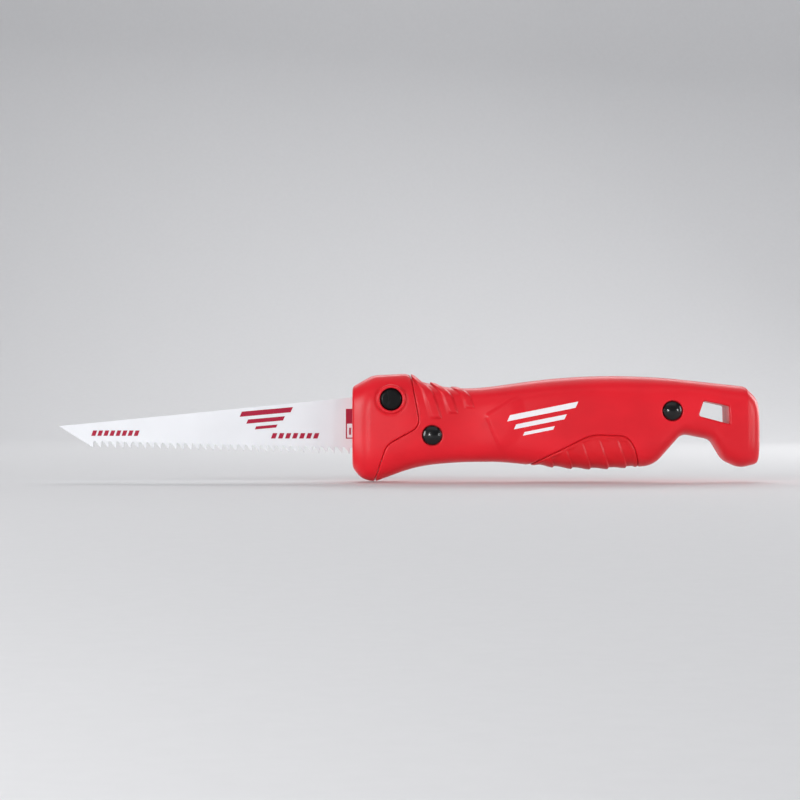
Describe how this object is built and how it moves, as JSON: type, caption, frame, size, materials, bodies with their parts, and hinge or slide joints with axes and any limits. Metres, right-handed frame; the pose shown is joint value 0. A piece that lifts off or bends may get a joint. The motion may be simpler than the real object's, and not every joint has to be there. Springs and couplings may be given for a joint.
{
  "type": "drywall jab saw",
  "caption": "Drywall jab saw with a pointed reciprocating blade held in a push-button clamp, on a moulded handle with finger ridges, lanyard slot and hooked tail.",
  "frame": {"origin": "middle of the blade mouth: where the tang's axis meets the nose's front face", "axes": "+X from the blade's tip towards the tail of the handle, +Z towards the blade's spine, -Y towards the release button"},
  "size_m": [0.2946, 0.025, 0.0451],
  "materials": {
    "handle_plastic": "satin moulded red plastic",
    "pad_plastic": "moulded red grip plastic with ridges",
    "black_parts": "smooth gloss black",
    "button_plastic": "black moulded button",
    "blade_paint": "white painted blade steel",
    "print_red": "printed crimson marks",
    "clamp_steel": "stamped steel plate",
    "pin_steel": "ground steel",
    "spring_steel": "drawn spring wire"
  },
  "bodies": {
    "handle": {"nose_left": "handle_plastic", "nose_right": "handle_plastic", "handle_left": "handle_plastic", "handle_right": "handle_plastic", "finger_pad_left": "pad_plastic", "finger_pad_right": "pad_plastic", "clamp_cheek_left": "clamp_steel", "clamp_cheek_right": "clamp_steel", "clamp_spacer": "clamp_steel", "clamp_rivets": "pin_steel", "button_spring": "spring_steel", "front_post": "black_parts", "front_screw": "black_parts", "rear_post": "black_parts", "rear_screw": "black_parts"},
    "release": {"release_button": "button_plastic", "push_rod": "pin_steel", "lock_yoke": "clamp_steel", "lock_pin": "pin_steel", "yoke_clip": "spring_steel"},
    "blade": {"blade": "blade_paint"}
  },
  "joints": [
    {"name": "release_press", "type": "slide", "parent": "handle", "child": "release", "axis": [0, 1, 0], "range_m": [0, 0.003], "stiffness_N_per_m": 800, "springref_m": -0.002, "deforming": ["button_spring"]},
    {"name": "blade_slide", "type": "slide", "parent": "handle", "child": "blade", "axis": [-1, 0, 0], "range_m": [0, 0.08]}
  ]
}
